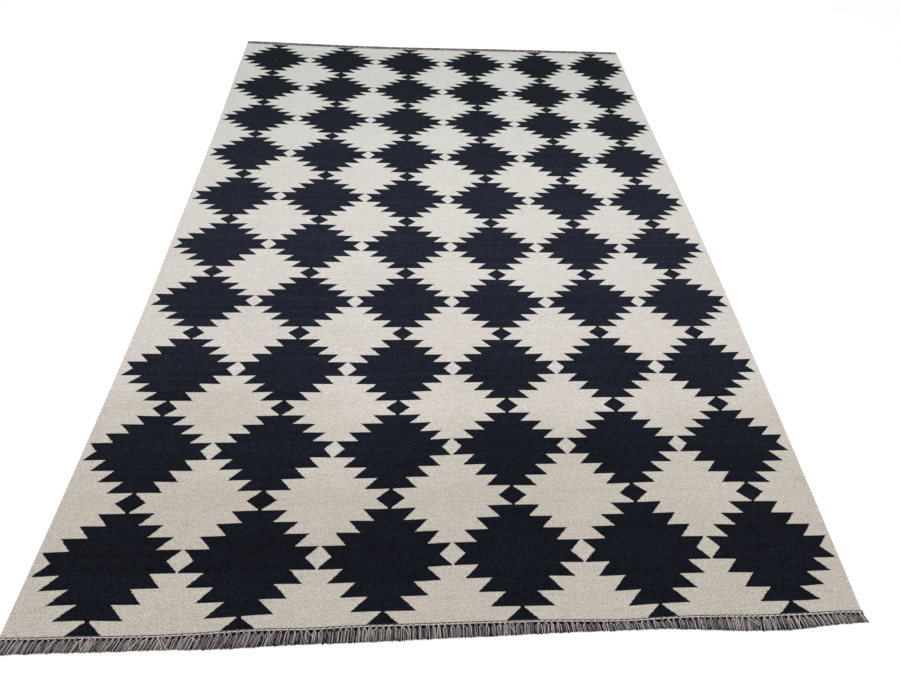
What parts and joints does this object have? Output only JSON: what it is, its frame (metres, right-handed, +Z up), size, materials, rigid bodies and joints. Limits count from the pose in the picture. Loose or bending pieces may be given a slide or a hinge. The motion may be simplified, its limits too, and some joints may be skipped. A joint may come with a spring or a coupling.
{
  "type": "kilim rug",
  "caption": "Flat-woven rectangular kilim rug lying on a floor, ivory with serrated black diamonds, with a twined cord and short bunched fringe along each end.",
  "frame": {"origin": "on the floor under the middle of the rug and its fringes", "axes": "+Y along the long sides, away from the near end; +X across the rug; +Z up out of the upper face"},
  "size_m": [1.8491, 2.8308, 0.0044],
  "materials": {
    "field_wool": "weft-faced flat weave in matt wool, ivory with near-black serrated diamonds",
    "warp_yarn": "matt twisted yarn, a mix of pale grey, dark grey and black"
  },
  "bodies": {
    "root": {"field": "field_wool", "fringe_near": "warp_yarn", "fringe_far": "warp_yarn"}
  },
  "joints": []
}
